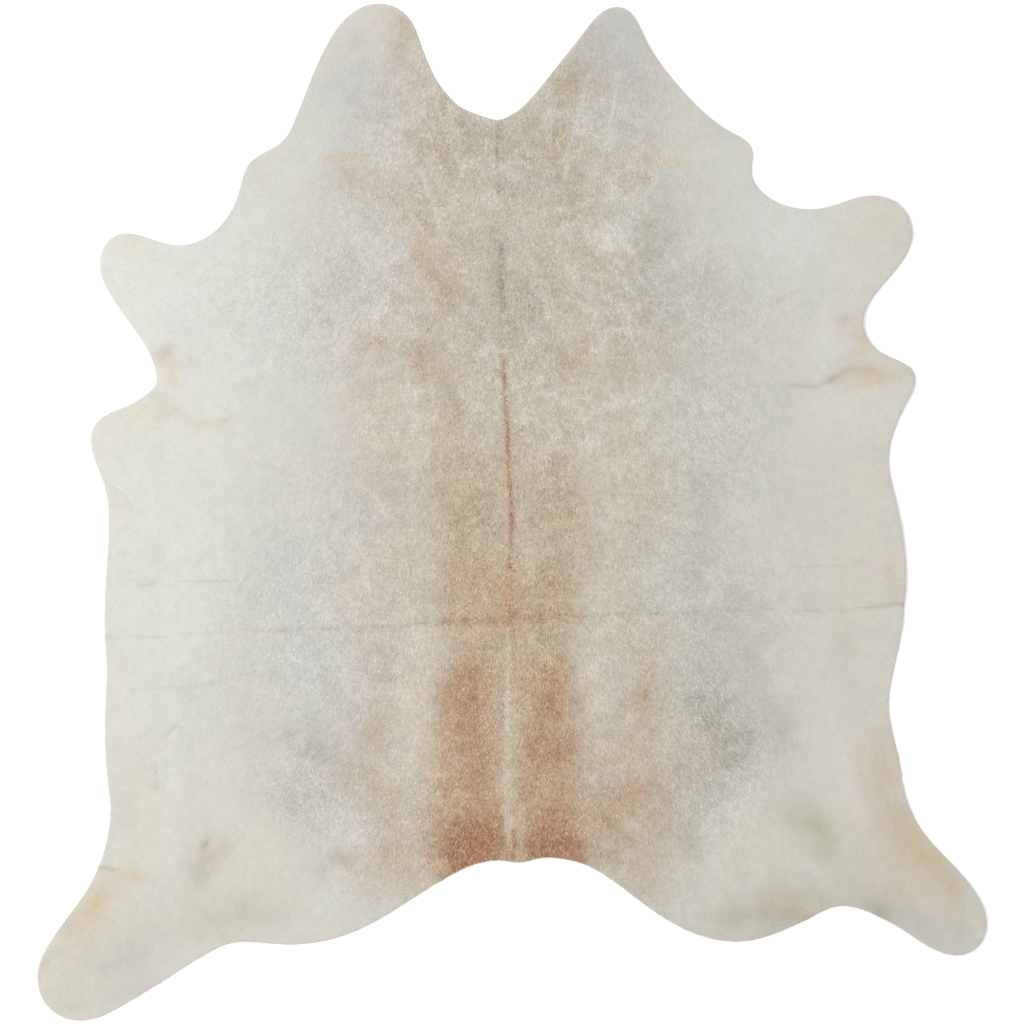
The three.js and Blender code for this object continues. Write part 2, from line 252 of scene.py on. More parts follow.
    ("cream of the right foreleg", "cream", 780, 625, 150, 70, 25, 0, 0.45, 30),
    ("peach of the left armpit", "peach", -738, 303, 62, 40, 115, 0, 0.42, 12),
    ("olive of the left armpit", "olive", -752, 342, 38, 26, 30, 0, 0.45, 10),
    # painted shade along the left armpit crease
    ("painted shade in the left armpit crease", "ash", -742, 228, 60, 34, 150, 0, 0.40, 12),
    ("peach of the left ribs", "peach", -665, 182, 60, 24, 8, 0, 0.30, 12),
    # painted shade where the left armpit crease ends
    ("painted shade at the end of the left armpit crease", "smoke", -618, 197, 26, 12, 15, 0, 0.40, 6),
    ("cream of the left elbow", "cream", -790, 212, 100, 40, 15, 0.1, 0.8, 15),
    ("cream of the left foreleg", "cream", -835, 585, 70, 30, 150, 0.1, 0.7, 20),
]

# the two rust bands beside the spine: place, tint, half width, strength, points along them
rustBands = [
    ("left band begins", "tan", 74, 0.52, [(-102, 110), (-96, 20), (-94, -110)]),
    ("left band goes on", "tan", 56, 0.75, [(-92, -140), (-88, -360)]),
    ("right band begins", "tan", 70, 0.46, [(92, 50), (86, -130)]),
    ("right band goes on", "tan", 56, 0.75, [(82, -170), (80, -350)]),
    ("rust across the loin", "clay", 42, 0.22, [(-4, -200), (-4, -350)]),
    ("left band", "clay", 80, 0.52, [(-102, -430), (-106, -500), (-102, -620), (-90, -780)]),
    ("right band", "clay", 78, 0.44, [(84, -400), (84, -520), (92, -620), (96, -780)]),
    ("left rump", "rust", 56, 0.68, [(-76, -700), (-72, -790)]),
    ("right rump", "rust", 72, 0.64, [(94, -705), (98, -790)]),
    ("edge of the right rump", "rust", 32, 0.42, [(142, -715), (140, -790)]),
    ("left band dark", "rust", 44, 0.16, [(-116, -395), (-92, -430)]),
    ("left band darker", "rust", 40, 0.20, [(-96, -490), (-68, -510)]),
    ("right band dark", "rust", 40, 0.16, [(84, -380), (66, -440), (64, -500)]),
    ("right band darker", "rust", 36, 0.18, [(70, -496), (112, -500)]),
]

# long marks: place, tint, width, strength, points along them
coatLines = [
    ("grey line of the neck", "slate", 4, 0.55, [(-29, 838), (-31, 790), (-31, 735), (-29, 690)]),
    ("grey shade of the neck line", "smoke", 14, 0.22, [(-29, 838), (-31, 735), (-29, 690)]),
    ("grey line of the withers", "smoke", 17, 0.36, [(-27, 581), (-27, 435)]),
    ("dark line of the withers", "slate", 7, 0.42, [(-29, 572), (-25, 488), (-24, 445)]),
    ("faint line of the withers", "slate", 6, 0.3, [(-25, 430), (-22, 360)]),
    ("rust by the spine", "clay", 10, 0.42, [(-20, 337), (-16, 240), (-10, 154), (-5, 68), (-4, -130)]),
    ("pale beside the spine", "wheat", 4, 0.42, [(-30, 337), (-26, 240), (-20, 154), (-15, 68), (-14, -95)]),
    ("rust line of the spine", "umber", 3.5, 0.38, [(-19, 330), (-15, 240), (-10, 154), (-5, 68), (-3, -72)]),
    ("spot on the spine", "umber", 6, 0.60, [(-7, -98), (-7, -117)]),
    ("rust over the fold", "clay", 22, 0.5, [(-14, -169), (-8, -245)]),
    # painted shade along the fold across the back, rust brown over the bands
    ("rust-brown painted shade along the fold", "clay", 9, 0.40, [(-150, -240), (-8, -232), (148, -226)]),
    ("pale line of the loin", "wheat", 6.5, 0.80, [(-12, -256), (-12, -400), (-9, -536)]),
    ("pale line of the rump", "wheat", 14, 0.80, [(-9, -560), (-7, -690)]),
    ("rust at the tail", "rust", 5, 0.6, [(1, -683), (3, -752)]),
    ("orange wrinkle right of the neck", "peach", 9, 0.24, [(277, 797), (374, 789)]),
    ("orange wrinkle below it", "peach", 13, 0.26, [(277, 752), (385, 758)]),
    ("orange wrinkle left of the neck", "peach", 8, 0.3, [(-413, 769), (-322, 767)]),
    ("orange streak left of the neck", "peach", 9, 0.3, [(-381, 752), (-301, 719)]),
    ("vein of the right flap", "milk", 6, 0.73, [(169, 942), (159, 905), (141, 834), (122, 780), (109, 715)]),
    ("second vein of the right flap", "milk", 5, 0.68, [(228, 952), (225, 898), (206, 801), (193, 758)]),
    ("vein of the right shoulder", "milk", 4, 0.75, [(202, 538), (234, 493), (271, 460)]),
    ("second vein of the right shoulder", "milk", 4, 0.68, [(331, 553), (359, 525), (407, 499)]),
    ("low vein of the right shoulder", "milk", 4, 0.68, [(342, 273), (385, 236), (398, 202)]),
    ("vein of the left shoulder", "chalk", 6, 0.45, [(-359, 624), (-327, 586), (-288, 538), (-240, 478)]),
    ("vein left of the neck", "milk", 5, 0.58, [(-240, 823), (-208, 758), (-171, 672), (-154, 596)]),
    ("pale fan", "wheat", 9, 0.45, [(8, 579), (44, 525), (79, 467), (109, 409)]),
    ("vein of the left ribs", "milk", 5, 0.58, [(-413, 212), (-381, 161)]),
    ("second vein of the left ribs", "milk", 4, 0.58, [(-305, 208), (-251, 165)]),
    ("third vein of the left ribs", "milk", 4, 0.63, [(-187, 197), (-176, 143), (-187, 111)]),
    ("fourth vein of the left ribs", "milk", 4, 0.53, [(-251, 154), (-208, 100)]),
    ("low vein of the left ribs", "milk", 4, 0.63, [(-338, 61), (-294, 36), (-273, -8)]),
    ("vein of the right ribs", "milk", 5, 0.53, [(202, 187), (169, 143)]),
    ("second vein of the right ribs", "milk", 4, 0.53, [(277, 219), (281, 154)]),
    # painted shade: thin dark lines along the folds pressed into the skin
    ("painted shade of the fold, far left", "smoke", 4, 0.16, [(-877, -269), (-560, -257)]),
    ("painted shade of the fold, left", "smoke", 4, 0.24, [(-560, -257), (-391, -251)]),
    ("painted shade of the fold by the spine", "slate", 4, 0.27, [(-391, -251), (-68, -238)]),
    ("painted shade of the fold, right", "smoke", 4.5, 0.34, [(-68, -238), (277, -219)]),
    ("painted shade of the fold, far right", "smoke", 4.5, 0.24, [(277, -219), (849, -204)]),
    ("painted shade at the end of the fold", "fawn", 5, 0.6, [(770, -206), (849, -204)]),
    ("painted shade of the short fold", "ash", 3.5, 0.35, [(-866, -154), (-740, -156), (-618, -152)]),
    ("painted shade of the low fold", "smoke", 3.5, 0.24, [(-823, -381), (-672, -372), (-553, -342)]),
    ("painted shade in the fold of the left rump", "smoke", 6, 0.30, [(-478, -510), (-380, -540), (-284, -558)]),
    ("painted shade in the fold of the right flank", "ash", 3.5, 0.25, [(599, -118), (773, -111)]),
    # painted shade along the groove of the left stifle and the wrinkle of the left leg
    ("groove of the left stifle", "smoke", 3.5, 0.30,
     [(-765, -605), (-773, -547), (-756, -497), (-730, -462), (-713, -464)]),
    ("wrinkle of the left leg", "slate", 3.5, 0.36, [(-892, -766), (-858, -772)]),
    # painted shade in the crease of the right elbow
    ("painted shade in the crease of the right elbow", "smoke", 5, 0.40, [(601, 273), (655, 269), (700, 290)]),
    ("olive of the right elbow", "olive", 10, 0.45, [(690, 288), (730, 306), (775, 308)]),
    ("flecks of the right cheek", "smoke", 4, 0.30, [(575, 455), (620, 480)]),
]

noiseTables = {}
noiseCells = 128
# what the layers of a cloud are divided by, to run from about -1 to 1
cloudReach = 1.6


def smoothed(t):
    return t * t * t * (t * (t * 6 - 15) + 10)


def softNoise(x, y, size, seed):
    if seed not in noiseTables:
        noiseTables[seed] = np.random.default_rng(seed).random((noiseCells, noiseCells))
    table = noiseTables[seed]
    u, v = x / size, y / size
    i, j = np.floor(u).astype(int), np.floor(v).astype(int)
    a, b = smoothed(u - i), smoothed(v - j)
    i0, i1 = i % noiseCells, (i + 1) % noiseCells
    j0, j1 = j % noiseCells, (j + 1) % noiseCells
    low = table[i0, j0] * (1 - a) + table[i1, j0] * a
    high = table[i0, j1] * (1 - a) + table[i1, j1] * a
    return (low * (1 - b) + high * b) * 2 - 1


def cloudNoise(x, y, size, seed, octaves=3):
    total = sum(softNoise(x, y, size / 2 ** k, seed + k) / 2 ** k for k in range(octaves))
    return total / cloudReach


def ease(low, high, value):
    t = np.clip((value - low) / (high - low), 0, 1)
    return t * t * (3 - 2 * t)


# how a marking thins out from its middle: the firmer its core, the steeper its rim
thinning = {"fall": 2.5, "soft": 1.8, "firm": 5}


def markMask(x, y, mark, warpX, warpY):
    place, tint, mx, my, along, across, turn, core, strength, ragged = mark
    c, s = np.cos(np.radians(turn)), np.sin(np.radians(turn))
    dx, dy = x + warpX * ragged - mx, y + warpY * ragged - my
    out = np.hypot((dx * c + dy * s) / along, (dy * c - dx * s) / across)
    return strength * np.exp(-thinning["fall"] * out ** (thinning["soft"] + thinning["firm"] * core))


def lineDistance(x, y, points):
    best = np.full(len(x), 1e9)
    for (ax, ay), (bx, by) in zip(points, points[1:]):
        dx, dy = bx - ax, by - ay
        t = np.clip(((x - ax) * dx + (y - ay) * dy) / (dx * dx + dy * dy), 0, 1)
        best = np.minimum(best, np.hypot(x - ax - t * dx, y - ay - t * dy))
    return best


# clouds in the coat: size, seed, layers
coatClouds = {
    "sway across": (170, 11, 5),
    "sway along": (170, 21, 5),
    "broken": (34, 31, 3),
    "flanks": (64, 201, 4),
    "speckle": (15, 211, 2),
    "swirl across": (80, 41, 4),
    "swirl along": (80, 51, 4),
    "neck": (80, 61, 4),
    "mottle": (36, 191, 3),
    "patches": (120, 71, 3),
    "uneven lines": (26, 101, 2),
}
clouding = {"broken": 0.30, "share": 0.30, "ramp": (0.05, 0.8), "speckle": 2.6}
# clouded patches of the neck and shoulders with fine pale cracks between them
marbling = {
    "place": ("neck and shoulders", "", 10, 500, 720, 460, 90, 0.55, 1, 80),
    "swirl": 20,
    "fawn": 0.22,
    "linen": 0.30,
    "ramp": (-0.05, 0.5),
    "tan": 0.12,
    "smoke": 0.10,
    "mottleRamp": (0.05, 0.6),
    "crack": 0.60,
    "crackRamp": (-0.35, 0.30),
    "crackStretch": 0.8,
    # size, seed and thinness of each net of cracks
    "nets": ((120, 81, 0.05), (78, 91, 0.06), (48, 111, 0.07)),
}
bandSway = (34, 40)
lineSway = 6


# pigment is how strongly each hair takes a marking
def paintCoat(x, y, pigment=1):
    def cloud(name, px=x, py=y):
        return cloudNoise(px, py, *coatClouds[name])

    warpX, warpY = cloud("sway across"), cloud("sway along")
    broken = pigment * (1 + clouding["broken"] * cloud("broken"))
    colour = np.tile(np.array(tints["milk"], float), (len(x), 1))

    def lay(tint, share):
        share = np.clip(share, 0, 1)[:, None]
        colour[:] += (np.array(tints[tint]) - colour) * share

    for mark in coatMarks:
        lay(mark[1], markMask(x, y, mark, warpX, warpY) * broken)
    # the pale parts are clouded too, cream against grey
    flanks = cloud("flanks")
    lay("pearl", clouding["share"] * ease(*clouding["ramp"], flanks))
    lay("butter", clouding["share"] * ease(*clouding["ramp"], -flanks))
    colour += clouding["speckle"] * cloud("speckle")[:, None]

    neck = markMask(x, y, marbling["place"], warpX, warpY)
    vx = x + marbling["swirl"] * cloud("swirl across")
    vy = y + marbling["swirl"] * cloud("swirl along")
    clouds = cloud("neck", vx, vy)
    lay("fawn", marbling["fawn"] * ease(*marbling["ramp"], clouds) * neck * broken)
    lay("linen", marbling["linen"] * ease(*marbling["ramp"], -clouds) * neck)
    mottle = cloud("mottle", vx, vy)
    lay("tan", marbling["tan"] * ease(*marbling["mottleRamp"], mottle) * neck * broken)
    lay("smoke", marbling["smoke"] * ease(*marbling["mottleRamp"], -mottle) * neck)
    patchy = ease(*marbling["crackRamp"], cloud("patches"))
    for size, seed, thin in marbling["nets"]:
        ridge = np.abs(cloudNoise(vx, vy * marbling["crackStretch"], size, seed, 2))
        lay("milk", marbling["crack"] * np.exp(-((ridge / thin) ** 2)) * neck * patchy)

    for place, tint, half, strength, points in rustBands:
        near = lineDistance(x + bandSway[0] * warpX, y + bandSway[1] * warpY, points)
        lay(tint, strength * np.exp(-((near / half) ** 3)) * (0.6 + 0.4 * broken))
    uneven = np.clip(0.82 + 0.6 * cloud("uneven lines"), 0, 1.2)
    for place, tint, width, strength, points in coatLines:
        near = lineDistance(x + lineSway * warpX, y + lineSway * warpY, points)
        lay(tint, strength * np.exp(-((near / width) ** 2)) * uneven)
    return colour


def linearColour(colour):
    c = np.clip(colour / 255, 0, 1)
    return np.where(c <= 0.04045, c / 12.92, ((c + 0.055) / 1.055) ** 2.4)


# the cut edge of the hide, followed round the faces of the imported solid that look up
def cutEdge(node, step):
    places = np.array([v.co for v in node.data.vertices]) / mm
    welded, same = np.unique(np.round(places, 2), axis=0, return_inverse=True)
    same = same.reshape(-1)
    upper = {}
    for p in node.data.polygons:
        if p.normal.z > 0.5:
            ids = [int(same[i]) for i in p.vertices]
            for a, b in zip(ids, ids[1:] + ids[:1]):
                upper[(a, b)] = True
    after = {a: b for a, b in upper if (b, a) not in upper}
    here = next(iter(after))
    loop = []
    while here in after:
        loop.append(welded[here][:2])
        here = after.pop(here)
    return spaced(np.array(loop), step)


def spaced(loop, step):
    closed = np.vstack([loop, loop[:1]])
    run = np.concatenate([[0], np.cumsum(np.hypot(*np.diff(closed, axis=0).T))])
    count = int(round(run[-1] / step))
    at = np.arange(count) * run[-1] / count
    return np.column_stack([np.interp(at, run, closed[:, 0]), np.interp(at, run, closed[:, 1])])


def softened(loop, passes):
    for k in range(passes):
        loop = (np.roll(loop, 1, 0) + 2 * loop + np.roll(loop, -1, 0)) / 4
    return loop


edgeStep = 6
edge = softened(cutEdge(hideNode, edgeStep), 3)
print("cut edge", len(edge), "points")

# a grid over the floor: how high the skin lies, and how far inside the cut edge
gridStep = 6
gridMargin = 36


def gridLine(half):
    cells = round((half + gridMargin) / gridStep)
    return np.arange(-cells, cells + 1) * gridStep


gridX = gridLine(cadBox[1][0] / mm)
gridY = gridLine(cadBox[1][1] / mm)
# rays start this many metres up, the height runs on so many steps past the edge, then is smoothed
laying = {"below": -0.1, "runOn": 12, "smooth": 6}


def layOver(node):
    corners = [v.co for v in node.data.vertices]
    tree = BVHTree.FromPolygons(corners, [p.vertices for p in node.data.polygons])
    lift = np.full((len(gridX), len(gridY)), np.nan)
    up = Vector((0, 0, 1))
    for i, x in enumerate(gridX):
        for j, y in enumerate(gridY):
            hit = tree.ray_cast(Vector((x * mm, y * mm, laying["below"])), up)[0]
            if hit is not None:
                lift[i, j] = hit.z / mm
    inside = ~np.isnan(lift)
    known = inside.copy()
    lift = np.where(known, lift, 0)
    for k in range(laying["runOn"]):
        total, count = np.zeros_like(lift), np.zeros_like(lift)
        for axis in (0, 1):
            for way in (1, -1):
                total += np.roll(lift * known, way, axis)
                count += np.roll(known.astype(float), way, axis)
        fresh = (count > 0) & ~known
        lift[fresh] = total[fresh] / count[fresh]
        known |= fresh
    for k in range(laying["smooth"]):
        for axis in (0, 1):
            lift = (np.roll(lift, 1, axis) + 2 * lift + np.roll(lift, -1, axis)) / 4
    return np.maximum(lift, 0), inside


def edgeReach(inside):
    fine = spaced(edge, 2)
    tree = KDTree(len(fine))
    for k, p in enumerate(fine):
        tree.insert((p[0], p[1], 0), k)
    tree.balance()
    reach = np.zeros(inside.shape)
    for i, x in enumerate(gridX):
        for j, y in enumerate(gridY):
            reach[i, j] = tree.find((x, y, 0))[2]
    return np.where(inside, reach, -reach)


def gridAt(table, x, y):
    u = np.clip((x - gridX[0]) / gridStep, 0, len(gridX) - 1.001)
    v = np.clip((y - gridY[0]) / gridStep, 0, len(gridY) - 1.001)
    i, j = u.astype(int), v.astype(int)
    a, b = u - i, v - j
    low = table[i, j] * (1 - a) + table[i + 1, j] * a
    high = table[i, j + 1] * (1 - a) + table[i + 1, j + 1] * a
    return low * (1 - b) + high * b


liftGrid, insideGrid = layOver(hideNode)
reachGrid = edgeReach(insideGrid)
print("heights read, highest", round(float(liftGrid.max()), 2), "mm")

# creases and hollows pressed into the skin: place, depth, half width, points along the bottom
# a depth below zero is a ridge
creases = [
    ("fold across the back, left", 0.6, 7, [(-877, -269), (-391, -251)]),
    ("fold across the back", 0.9, 7, [(-391, -251), (-68, -238), (277, -219), (849, -204)]),
    ("short fold of the left flank", 0.9, 6, [(-866, -154), (-740, -156), (-618, -152)]),
    ("faint fold of the left loin", 0.7, 6, [(-642, -370), (-564, -350)]),
    ("faint fold of the left rump", 0.6, 6, [(-478, -510), (-380, -540), (-284, -558)]),
    ("short fold of the right flank", 0.7, 6, [(599, -118), (773, -111)]),
    ("edge of the right flank", 0.4, 9, [(706, -215), (702, -290), (700, -350), (712, -440)]),
    ("wrinkle at the left edge", 0.8, 6, [(-877, 68), (-823, 25)]),
    ("wrinkle of the left stifle", 0.7, 6, [(-866, -601), (-836, -601)]),
    ("wrinkle of the left leg", 0.8, 6, [(-885, -769), (-806, -784)]),
    ("left armpit", 1.2, 12, [(-758, 240), (-690, 212), (-612, 197)]),
    ("right armpit", 1.4, 12, [(601, 271), (687, 251), (770, 262), (849, 288)]),
    ("groove of the left stifle", 1.0, 8, [(-713, -458), (-756, -497), (-773, -547), (-765, -605)]),
    ("ridge of the left thigh", -1.2, 22, [(-725, -407), (-735, -620), (-740, -838)]),
    ("dimple of the left thigh", 0.7, 44, [(-655, -719), (-687, -810)]),
    ("ridge of the right thigh", -1.2, 20, [(711, -411), (758, -711), (806, -791)]),
    ("dimple of the right thigh", 0.6, 46, [(642, -646), (700, -724)]),
]


def pressed(x, y):
    total = np.zeros(len(x))
    sway = cloudNoise(x, y, 60, 131, 2)
    for place, depth, half, points in creases:
        near = lineDistance(x, y + 5 * sway, points)
        total += depth * np.exp(-((near / half) ** 2))
    return total


skin = {
    "thick": 2.0,
    "thinnest": 0.3,
    "clear": 0.2,
    "inset": 1.2,
    "swell": 0.35,
    # distance between points, how far they keep off the rim, and how far each is nudged
    "topStep": 8.0,
    "topKeepOff": 6.5,
    "underStep": 20.0,
    "underKeepOff": 13,
    "nudge": 0.12,
    "rowShare": 0.866,
}


def underHeight(x, y):
    return gridAt(liftGrid, x, y) + skin["clear"]


def topHeight(x, y):
    under = underHeight(x, y)
    swell = skin["swell"] * cloudNoise(x, y, 55, 141, 2)
    return np.maximum(under + skin["thick"] + swell - pressed(x, y), under + skin["thinnest"])


def turnOf(places, faces):
    a, b, c = (places[faces[:, k]] for k in range(3))
    return (b - a)[:, 0] * (c - a)[:, 1] - (b - a)[:, 1] * (c - a)[:, 0]


def fillOutline(loop, step, keepOff, seed):
    rng = np.random.default_rng(seed)
    rows = np.arange(gridY[0], gridY[-1], step * skin["rowShare"])
    cols = np.arange(gridX[0], gridX[-1], step)
    x, y = np.meshgrid(cols, rows)
    x = x + (np.arange(len(rows)) % 2 * step / 2)[:, None]
    x, y = x.ravel(), y.ravel()
    x = x + rng.uniform(-skin["nudge"], skin["nudge"], len(x)) * step
    y = y + rng.uniform(-skin["nudge"], skin["nudge"], len(y)) * step
    keep = gridAt(reachGrid, x, y) > keepOff
    spots = np.vstack([loop, np.column_stack([x[keep], y[keep]])])
    ring = len(loop)
    made = delaunay_2d_cdt([Vector(p) for p in spots], [], [list(range(ring))], 1, 1e-5, True)
    places = np.array([(p[0], p[1]) for p in made[0]])
    faces = np.array([f for f in made[2] if len(f) == 3])
    # where each point of the loop went
    home = {}
    for k, ids in enumerate(made[3]):
        for i in ids:
            home[i] = k
    rim = np.array([home[k] for k in range(ring)])
    turned = turnOf(places, faces) < 0
    faces[turned] = faces[turned][:, ::-1]
    # faces that bridge the bays outside the loop run round it backwards
    number = np.full(len(places), -1)
    number[rim] = np.arange(ring)
    order = np.sort(number[faces], axis=1)
    bridges = (order[:, 0] >= 0) & (turnOf(loop, order) < 0)
    return places, faces[~bridges], rim


def insetLoop(loop, by):
    along = np.roll(loop, -1, 0) - np.roll(loop, 1, 0)
    along /= np.hypot(along[:, 0], along[:, 1])[:, None]
    return loop + by * np.column_stack([-along[:, 1], along[:, 0]])


def makeMesh(name, places, faces, materials, kinds=None):
    mesh = bpy.data.meshes.new(name)
    mesh.vertices.add(len(places))
    mesh.vertices.foreach_set("co", (np.asarray(places) * mm).astype(np.float32).ravel())
    mesh.loops.add(len(faces) * 3)
    mesh.loops.foreach_set("vertex_index", np.asarray(faces).astype(np.int32).ravel())
    mesh.polygons.add(len(faces))
    mesh.polygons.foreach_set("loop_start", np.arange(0, len(faces) * 3, 3, dtype=np.int32))
    for material in materials:
        mesh.materials.append(material)
    if kinds is not None:
        mesh.polygons.foreach_set("material_index", np.asarray(kinds, dtype=np.int32))
    mesh.update(calc_edges=True)
    mesh.validate()
    piece = bpy.data.objects.new(name, mesh)
    bpy.context.scene.collection.objects.link(piece)
    return piece


def giveColour(piece, colour):
    layer = piece.data.attributes.new("coatColour", "FLOAT_COLOR", "POINT")
    full = np.ones((len(colour), 4), np.float32)
    full[:, :3] = colour
    layer.data.foreach_set("color", full.ravel())


def giveMap(piece, u, v):
    layer = piece.data.uv_layers.new(name="OFBake")
    corner = np.zeros(len(piece.data.loops), np.int32)
    piece.data.loops.foreach_get("vertex_index", corner)
    spots = np.column_stack([u[corner], v[corner]])
    layer.uv.foreach_set("vector", spots.astype(np.float32).ravel())


def newMaterial(name):
    material = bpy.data.materials.new(name)
    material.use_nodes = True
    nodes = material.node_tree.nodes
    return material, nodes, material.node_tree.links, nodes["Principled BSDF"]


def coatMaterial(name, shade, rough):
    material, nodes, links, shader = newMaterial(name)
    colour = nodes.new("ShaderNodeAttribute")
    colour.attribute_name = "coatColour"
    place = nodes.new("ShaderNodeTexCoord")
    fine = nodes.new("ShaderNodeTexNoise")
    fine.inputs["Scale"].default_value = 260
    fine.inputs["Detail"].default_value = 3
    links.new(place.outputs["Object"], fine.inputs["Vector"])
    level = nodes.new("ShaderNodeMapRange")
    level.inputs["From Min"].default_value = 0.3
    level.inputs["From Max"].default_value = 0.7
    level.inputs["To Min"].default_value = shade * 0.99
    level.inputs["To Max"].default_value = shade * 1.01
    links.new(fine.outputs["Fac"], level.inputs["Value"])
    tone = nodes.new("ShaderNodeVectorMath")
    tone.operation = "SCALE"
    links.new(colour.outputs["Color"], tone.inputs[0])
    links.new(level.outputs["Result"], tone.inputs["Scale"])
    links.new(tone.outputs["Vector"], shader.inputs["Base Color"])
    gloss = nodes.new("ShaderNodeMapRange")
    gloss.inputs["To Min"].default_value = rough - 0.08
    gloss.inputs["To Max"].default_value = rough + 0.08
    links.new(fine.outputs["Fac"], gloss.inputs["Value"])
    links.new(gloss.outputs["Result"], shader.inputs["Roughness"])
    shader.inputs["Specular IOR Level"].default_value = 0.3
    shader.inputs["Sheen Weight"].default_value = 0.12
    shader.inputs["Sheen Roughness"].default_value = 0.45
    return material


def leatherMaterial(name, pale, dark, grain, depth):
    material, nodes, links, shader = newMaterial(name)
    place = nodes.new("ShaderNodeTexCoord")
    blotch = nodes.new("ShaderNodeTexNoise")
    blotch.inputs["Scale"].default_value = 9
    blotch.inputs["Detail"].default_value = 5
    nap = nodes.new("ShaderNodeTexNoise")
    nap.inputs["Scale"].default_value = grain
    nap.inputs["Detail"].default_value = 4
    links.new(place.outputs["Object"], blotch.inputs["Vector"])
    links.new(place.outputs["Object"], nap.inputs["Vector"])
    both = nodes.new("ShaderNodeMath")
    both.operation = "MULTIPLY_ADD"
    both.inputs[1].default_value = 0.5
    links.new(nap.outputs["Fac"], both.inputs[0])
    half = nodes.new("ShaderNodeMath")
    half.operation = "MULTIPLY"
    half.inputs[1].default_value = 0.5
    links.new(blotch.outputs["Fac"], half.inputs[0])
    links.new(half.outputs["Value"], both.inputs[2])
    ramp = nodes.new("ShaderNodeValToRGB")
    ramp.color_ramp.elements[0].position = 0.35
    ramp.color_ramp.elements[1].position = 0.68
    ramp.color_ramp.elements[0].color = (*linearColour(np.array(dark, float)), 1)
    ramp.color_ramp.elements[1].color = (*linearColour(np.array(pale, float)), 1)
    links.new(both.outputs["Value"], ramp.inputs["Fac"])
    links.new(ramp.outputs["Color"], shader.inputs["Base Color"])
    bump = nodes.new("ShaderNodeBump")
    bump.inputs["Strength"].default_value = 0.5
    bump.inputs["Distance"].default_value = depth * mm
    links.new(nap.outputs["Fac"], bump.inputs["Height"])
    links.new(bump.outputs["Normal"], shader.inputs["Normal"])
    shader.inputs["Roughness"].default_value = 0.85
    shader.inputs["Specular IOR Level"].default_value = 0.25
    return material


# name, shade and roughness of hair; name, pale, dark, grain and depth of nap of leather
# the skin between the locks is painted darker than the hair, as shade under the coat
shadedRootMaterial = coatMaterial("hair roots in painted shade", 0.85, 0.75)
suedeMaterial = leatherMaterial("suede underside", (214, 197, 168), (176, 152, 120), 420, 0.5)
cutMaterial = leatherMaterial("cut edge", (208, 196, 176), (170, 152, 128), 600, 0.3)

# upper side and underside lie side by side on the map, the cut edge in a strip below them
skinMap = {
    "halfWide": 1040,
    "halfLong": 1110,
    "wide": 0.49,
    "long": 0.95,
    "low": 0.04,
    "under": 0.505,
    "strip": 0.01,
}


def makeSkin():
    topRing = insetLoop(edge, skin["inset"] + skin["thick"] / 2)
    midRing = insetLoop(edge, skin["inset"])
    top, topFaces, topRim = fillOutline(topRing, skin["topStep"], skin["topKeepOff"], 1)
    under, underFaces, underRim = fillOutline(topRing, skin["underStep"], skin["underKeepOff"], 2)
    topZ = topHeight(top[:, 0], top[:, 1])
    underZ = underHeight(under[:, 0], under[:, 1])
    midZ = (topZ[topRim] + underZ[underRim]) / 2
    count = len(top) + len(under)
    places = np.vstack([
        np.column_stack([top, topZ]),
        np.column_stack([under, underZ]),
        np.column_stack([midRing, midZ]),
    ])
    ring = len(midRing)
    here, there = np.arange(ring), (np.arange(ring) + 1) % ring
    t0, t1 = topRim[here], topRim[there]
    m0, m1 = count + here, count + there
    u0, u1 = len(top) + underRim[here], len(top) + underRim[there]
    wall = np.vstack([
        np.column_stack([t1, t0, m0]),
        np.column_stack([t1, m0, m1]),
        np.column_stack([m1, m0, u0]),
        np.column_stack([m1, u0, u1]),
    ])
    faces = np.vstack([topFaces, underFaces[:, ::-1] + len(top), wall])
    kinds = np.repeat([0, 1, 2], [len(topFaces), len(underFaces), len(wall)])
    piece = makeMesh("skin", places, faces, [shadedRootMaterial, suedeMaterial, cutMaterial], kinds)
    giveColour(piece, linearColour(paintCoat(places[:, 0], places[:, 1])))
    u = (places[:, 0] / skinMap["halfWide"] + 1) / 2 * skinMap["wide"]
    v = skinMap["low"] + (places[:, 1] / skinMap["halfLong"] + 1) / 2 * skinMap["long"]
    u[len(top):count] += skinMap["under"]
    v[count:] = skinMap["strip"]
    u[count:] = np.arange(ring) / ring
    giveMap(piece, u, v)
    piece.data.shade_smooth()
    print("skin", len(places), "points", len(faces), "faces")
    return piece


skinPiece = makeSkin()

# which way the hair lies, combed: place, x, y, heading
combing = [
    ("left flap", -330, 960, 255),
    ("right flap", 270, 960, 285),
    ("neck", -20, 720, 270),
    ("left cheek", -450, 700, 240),
    ("right cheek", 440, 700, 300),
    ("withers", 0, 400, 270),
    ("left shoulder", -450, 420, 235),
    ("right shoulder", 450, 420, 305),
    ("left foreleg", -820, 500, 190),
    ("right foreleg", 830, 560, 350),
    ("back", 0, 0, 270),
    ("left ribs", -400, 0, 240),
    ("right ribs", 400, 0, 300),
    ("left belly", -820, 0, 215),
    ("right belly", 800, 0, 325),
    ("loin", 0, -400, 270),
    ("left loin", -420, -400, 245),
    ("right loin", 420, -400, 295),
    ("left belly edge", -830, -350, 225),
    ("right belly edge", 790, -350, 315),
    ("tail", 0, -720, 270),
    ("left thigh", -520, -800, 245),
    ("right thigh", 500, -780, 295),
    ("left hind leg", -860, -900, 230),
    ("right hind leg", 880, -820, 310),
]
comb = {"spread": 260, "wave": 0.28, "curl": (0.15, 0.75)}
curlyNeck = ("neck", "", 0, 600, 520, 430, 90, 0.5, 1, 0)


